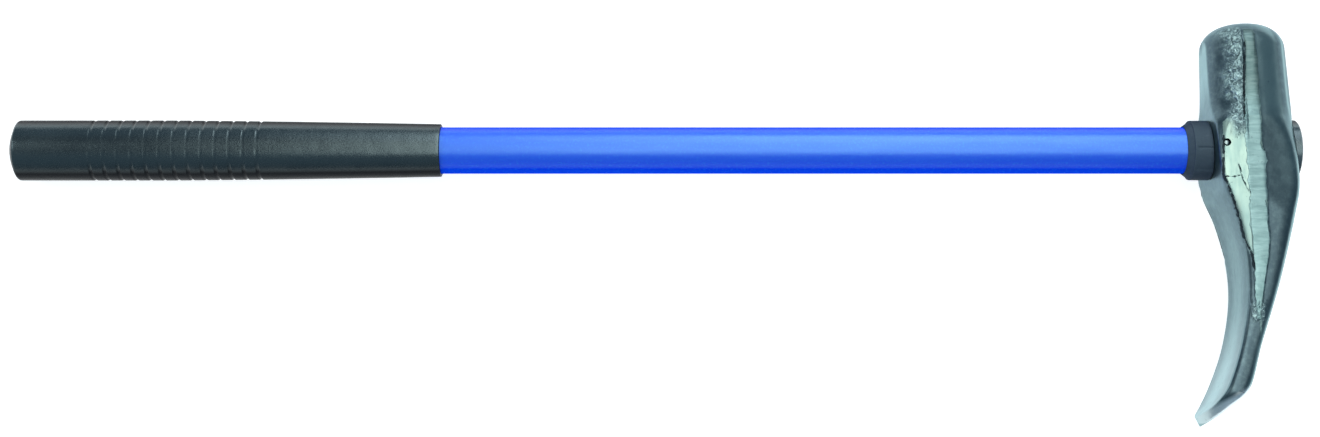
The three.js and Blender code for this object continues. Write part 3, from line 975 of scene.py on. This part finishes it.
grip_rubber = moulded(
    "black_grip_rubber", [(0.002, 0.002, 0.004, 1), (0.005, 0.006, 0.009, 1)], (0.008, 0.011, 0.014, 1),
    rough=(0.22, 0.32), grain_size=0.8 * mm, grain_depth=0.06 * mm, gloss=1.0, refraction=1.7)
collar_rubber = moulded(
    "charcoal_collar_rubber", [(0.013, 0.024, 0.042, 1), (0.040, 0.060, 0.092, 1)], (0.10, 0.14, 0.18, 1),
    rough=(0.45, 0.7), grain_size=1.4 * mm, grain_depth=0.12 * mm)
cap_plastic = moulded(
    "black_cap_plastic", [(0.016, 0.022, 0.028, 1), (0.035, 0.046, 0.056, 1)], (0.08, 0.09, 0.10, 1),
    rough=(0.12, 0.28), grain_size=0.8 * mm, grain_depth=0.01 * mm, gloss=1.0, refraction=1.8)
print("made", grip_rubber.name, collar_rubber.name, cap_plastic.name)

# %% [markdown]
# ## Rubber grip
#
# The grip is a moulded rubber sleeve, closed over the butt. It is parallel for a hand's width and then
# tapers towards the head. Thirteen ring grooves give the hand a hold. They are deepest at the two edges,
# and nearly run out on the two broad sides, where the mould opens.
#
# The sleeve is turned from a profile with closely spaced rings. One groove rule, repeated by a
# geometry-nodes tree, then sinks the rings: how many, how far apart, how wide and how deep are inputs.

# %% Grip profile
grip_length = 254.5 * mm
sleeve_bore = shaft_radius + fit_gap
grip_wall_butt, grip_wall_front, grip_end_wall = 3.75 * mm, 1.6 * mm, 7 * mm
grip_taper_start = 96 * mm
butt_bulge, butt_round, front_round = 4.4 * mm, 1.8 * mm, 0.6 * mm
groove_start, groove_pitch, groove_count = 50 * mm, 8.16 * mm, 13
groove_width, groove_depth = 2.6 * mm, 0.8 * mm
ring_step, fine_ring_step = 2 * mm, 0.27 * mm
pole_radius = 0.3 * mm  # a profile stops this far from the axis, and a middle point closes it


def grip_radius(from_butt):
    """Outside of the grip at a distance from the butt."""
    share = min(max((from_butt - grip_taper_start) / (grip_length - grip_taper_start), 0), 1)
    butt, front = sleeve_bore + grip_wall_butt, sleeve_bore + grip_wall_front
    return butt + (front - butt) * share**1.35


def grip_profile():
    """The butt's dome, its rounded rim, the side up to the front rim, and back along the bore."""
    rim = grip_radius(0) - butt_round
    sphere = (rim**2 + butt_bulge**2) / (2 * butt_bulge)
    dome = [(sphere - math.sqrt(sphere**2 - r**2), r) for r in np.linspace(pole_radius, rim, 16)]
    rounding = arc(butt_bulge + butt_round, rim, butt_round, 180, 90, 10)[1:]
    fine_from, fine_to = groove_start - groove_pitch / 2, groove_start + (groove_count - 0.5) * groove_pitch
    stops = [*np.arange(butt_bulge + butt_round, fine_from, ring_step)[1:],
             *np.arange(fine_from, fine_to, fine_ring_step),
             *np.arange(fine_to, grip_length - 1 * mm, ring_step)]
    front_rim = arc(grip_length - front_round, grip_radius(grip_length) - front_round, front_round, 90, 0, 6)
    bore_end = grip_end_wall - fit_gap
    bore = [(grip_length, sleeve_bore), (bore_end, sleeve_bore), (bore_end, pole_radius)]
    outside = [*dome, *rounding, *[(x, grip_radius(x)) for x in stops], *front_rim]
    return [(butt_x + x, r) for x, r in outside + bore]


# %% Groove tree
def around_handle(tree):
    """A point's x, its way out from the handle's axis, and its radius."""
    position = put(tree, "GeometryNodeInputPosition").outputs[0]
    x, y, z = put(tree, "ShaderNodeSeparateXYZ", {0: position}).outputs
    radial = put(tree, "ShaderNodeCombineXYZ", {1: y, 2: calc(tree, "SUBTRACT", z, axis_z)}).outputs[0]
    return x, vector_calc(tree, "NORMALIZE", radial)[0], vector_calc(tree, "LENGTH", radial)["Value"]


def groove_tree():
    sizes = ("First", "Pitch", "Width", "Depth", "Share on the flanks")
    tree, given = geometry_tree("ring_grooves", sizes, {"Count": int, "Material": bpy.types.Material})
    x, outward, radius = around_handle(tree)
    steps = calc(tree, "DIVIDE", calc(tree, "SUBTRACT", x, given["First"]), given["Pitch"])
    nearest = calc(tree, "MAXIMUM", calc(tree, "ROUND", steps), 0.0)
    nearest = calc(tree, "MINIMUM", nearest, calc(tree, "SUBTRACT", given["Count"], 1.0))
    away = calc(tree, "ABSOLUTE", times(tree, calc(tree, "SUBTRACT", steps, nearest), given["Pitch"]))
    inside = ramp(tree, calc(tree, "DIVIDE", away, given["Width"]), 0.12, 0.5, 1.0, 0.0)
    to_edge = calc(tree, "ABSOLUTE", put(tree, "ShaderNodeSeparateXYZ", {0: outward}).outputs[1])
    strength = put(tree, "ShaderNodeMapRange", {"Value": calc(tree, "POWER", to_edge, 2.4),
                                                "To Min": given["Share on the flanks"]}).outputs[0]
    on_skin = ramp(tree, radius, sleeve_bore + 0.2 * mm, sleeve_bore + 0.8 * mm)
    sink = times(tree, inside, strength, given["Depth"], on_skin, -1.0)
    move_and_end(tree, given, outward, sink)
    return tree


grip = linked("rubber_grip", turned("rubber_grip", grip_profile(), sides=120))
run_tree(grip, groove_tree(), {"First": butt_x + groove_start, "Pitch": groove_pitch, "Count": groove_count,
                               "Width": groove_width, "Depth": groove_depth, "Share on the flanks": 0.03,
                               "Material": grip_rubber})
crease(grip.data)
print("grip:", groove_count, "grooves,", len(grip.data.polygons), "faces")

# %% [markdown]
# ## Collar
#
# A short sleeve of coarser rubber guards the shaft where it enters the head. It has a thin cone towards the
# hand. Its mould left a parting groove and a rib on each side, which run along the sleeve. One tree makes
# both: a mark at equal steps of angle, with a height that sinks when it is below zero.

# %% Collar profile
collar_length, collar_wall = 14.5 * mm, 3.6 * mm
collar_cone, collar_lip, collar_round = 3.3 * mm, 0.25 * mm, 0.9 * mm
collar_radius = sleeve_bore + collar_wall
collar_from = -eye_front - collar_length
sleeve_from = collar_from + collar_cone
cone_low, cone_high = sleeve_bore + collar_lip, collar_radius - collar_round


def collar_profile():
    """The cone, the rounded shoulder, the sleeve up to the head, and back along the bore."""
    cone = [(collar_from + share * collar_cone, cone_low + (cone_high - cone_low) * share)
            for share in np.linspace(0, 1, 8)]
    shoulder = arc(sleeve_from + collar_round, cone_high, collar_round, 180, 90, 6)[1:]
    sleeve = [(x, collar_radius) for x in np.linspace(sleeve_from + 1.4 * mm, -eye_front + 0.6 * mm, 22)]
    return [(collar_from, sleeve_bore), *cone, *shoulder, *sleeve, (-eye_front + 1 * mm, sleeve_bore)]


# %% Collar
def rib_tree():
    sizes = ("First angle", "Step", "Width", "Height", "From")
    tree, given = geometry_tree("lengthwise_marks", sizes, {"Material": bpy.types.Material})
    x, outward, radius = around_handle(tree)
    _, side, up = put(tree, "ShaderNodeSeparateXYZ", {0: outward}).outputs
    angle = calc(tree, "SUBTRACT", calc(tree, "ARCTAN2", side, up), given["First angle"])
    half_step = times(tree, given["Step"], 0.5)
    turn = calc(tree, "WRAP", angle, half_step, times(tree, half_step, -1.0))
    away = times(tree, calc(tree, "ABSOLUTE", turn), collar_radius)
    inside = ramp(tree, calc(tree, "DIVIDE", away, given["Width"]), 0.15, 0.5, 1.0, 0.0)
    past_cone = ramp(tree, x, given["From"], total(tree, given["From"], 1 * mm))
    on_skin = ramp(tree, radius, collar_radius - 1.2 * mm, collar_radius - 0.4 * mm)
    move_and_end(tree, given, outward, times(tree, inside, past_cone, on_skin, given["Height"]))
    return tree


def blank_moved(x):
    """The head before it was drilled, moved along the handle, to cut a seat with a gap."""
    mesh = blank_copy.copy()
    mesh.transform(Matrix.Translation((x, 0, 0)))
    return mesh


collar = linked("rubber_collar", turned("rubber_collar", collar_profile(), sides=160, closed=True))
lengthwise_marks = rib_tree()
parting_groove, rib = (-0.09, -0.45 * mm, 1.3 * mm), (-0.94, 0.5 * mm, 2.6 * mm)
for first_angle, height, width in (parting_groove, rib):
    run_tree(collar, lengthwise_marks, {"First angle": first_angle, "Step": math.pi, "Width": width,
                                        "Height": height, "From": sleeve_from + 1 * mm,
                                        "Material": collar_rubber})
cut_away(collar, blank_moved(-fit_gap))
crease(collar.data)
print("collar:", len(collar.data.polygons), "faces")

# %% [markdown]
# ## Eye cap
#
# A black plastic cap closes the eye behind the head. It is a shallow dome whose underside follows the
# forging, so it is cut by the head's own blank, moved by the small gap that is left between pieces. A short
# spigot under it fills the mouth of the eye.

# %% Eye cap
cap_radius = eye_radius_at(eye_back) + 1.6 * mm
cap_rise, cap_rim, cap_spigot, cap_round = 5.6 * mm, 2.6 * mm, 4 * mm, 0.5 * mm
cap_top, cap_start = eye_back + cap_rise, eye_back - cap_spigot
cap_bulge = cap_rise - cap_rim
cap_sphere = (cap_radius**2 + cap_bulge**2) / (2 * cap_bulge)
cap_dome = [(cap_top - cap_sphere + math.sqrt(cap_sphere**2 - r**2), r)
            for r in np.linspace(cap_radius - cap_round, pole_radius, 24)]
cap_side = [(x, cap_radius) for x in np.linspace(cap_start, cap_dome[0][0] - 0.6 * mm, 8)]
cap_profile = [(cap_start, pole_radius), *cap_side, *cap_dome]
cap = linked("eye_cap_dome", turned("eye_cap_dome", cap_profile))
cut_away(cap, blank_moved(fit_gap))
spigot_profile = [(cap_start, eye_radius_at(cap_start) - fit_gap),
                  (eye_back + cap_rim / 2, eye_radius_at(eye_back) - fit_gap)]
cut_away(cap, turned("spigot", spigot_profile), "UNION")
cap.data.materials.clear()
cap.data.materials.append(cap_plastic)
crease(cap.data, degrees=35)
print("cap:", len(cap.data.polygons), "faces")

# %% [markdown]
# ## Cross pin
#
# The pin is plain plated steel with domed ends, a little below the cheek in its hole. It is turned like the
# other round pieces, and then stood upright.


# %% Cross pin
def pin_steel():
    material, tree, shader, place = new_finish("plated_pin_steel", Metallic=1.0)
    cloud = noise(tree, place, 900, 3.0)
    color = mix_color(tree, cloud, (0.24, 0.31, 0.31, 1), (0.42, 0.52, 0.50, 1))
    rough = calc(tree, "MULTIPLY_ADD", cloud, 0.25, 0.15)
    wire_surface(tree, shader, color, rough, times(tree, cloud, 0.03 * mm))
    return material


pin_half, pin_dome = 26.4 * mm, 0.8 * mm
pin_end = [(pin_half - pin_dome + pin_dome * math.sin(a), pin_radius * math.cos(a))
           for a in np.linspace(0, 1.45, 10)]
pin_profile = [(-x, r) for x, r in reversed(pin_end)] + pin_end
pin = linked("steel_cross_pin", upright(turned("steel_cross_pin", pin_profile, pin_sides), pin_x))
pin.data.materials.append(pin_steel())
crease(pin.data)
print("pin:", round(2 * pin_half / mm, 1), "mm long")

# %% [markdown]
# ## Core and resin
#
# The core and the bonding resin are inside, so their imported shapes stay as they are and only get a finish:
# pale glass fibre with rovings along the rod, and dark resin with a cloudy mix and small bubbles.


# %% Core and resin
def glass_fibre():
    material, tree, shader, place = new_finish("pultruded_glass_fibre")
    rovings = streaks(tree, place, 8, 900)
    color = mix_color(tree, rovings, (0.50, 0.44, 0.26, 1), (0.78, 0.73, 0.55, 1))
    rough = calc(tree, "MULTIPLY_ADD", rovings, 0.25, 0.4)
    wire_surface(tree, shader, color, rough, times(tree, rovings, 0.05 * mm))
    return material


def dark_resin():
    material, tree, shader, place = new_finish("dark_bonding_resin")
    cloud = noise(tree, place, 150, 4.0, 0.6)
    bubbles = ramp(tree, noise(tree, place, 900, 1.0), 0.68, 0.74)
    color = mix_color(tree, cloud, (0.030, 0.026, 0.020, 1), (0.075, 0.065, 0.045, 1))
    rough = calc(tree, "MULTIPLY_ADD", cloud, 0.3, 0.25)
    wire_surface(tree, shader, color, rough, times(tree, bubbles, -0.1 * mm))
    return material


for node, finish in (("handle_core", glass_fibre()), ("eye_resin", dark_resin())):
    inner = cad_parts[node]
    inner.data.materials.clear()
    inner.data.materials.append(finish)
    print(node, "keeps its packed shape, finished as", finish.name)

# %% [markdown]
# ## Join the pieces to the frame
#
# Nothing moves on this tool, so every piece rides on the one body. Each stands for its imported node, which
# is hidden.

# %% Join
made = {
    "wedge_head": (head, "bright_steel"),
    "handle_jacket": (jacket, "blue_jacket"),
    "grip": (grip, "grip_rubber"),
    "collar": (collar, "collar_rubber"),
    "eye_cap": (cap, "cap_plastic"),
    "cross_pin": (pin, "pin_steel"),
}
for node, (piece, slot_name) in made.items():
    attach(piece, "root")
    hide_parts(node)
    print(piece.name, "stands for", node)
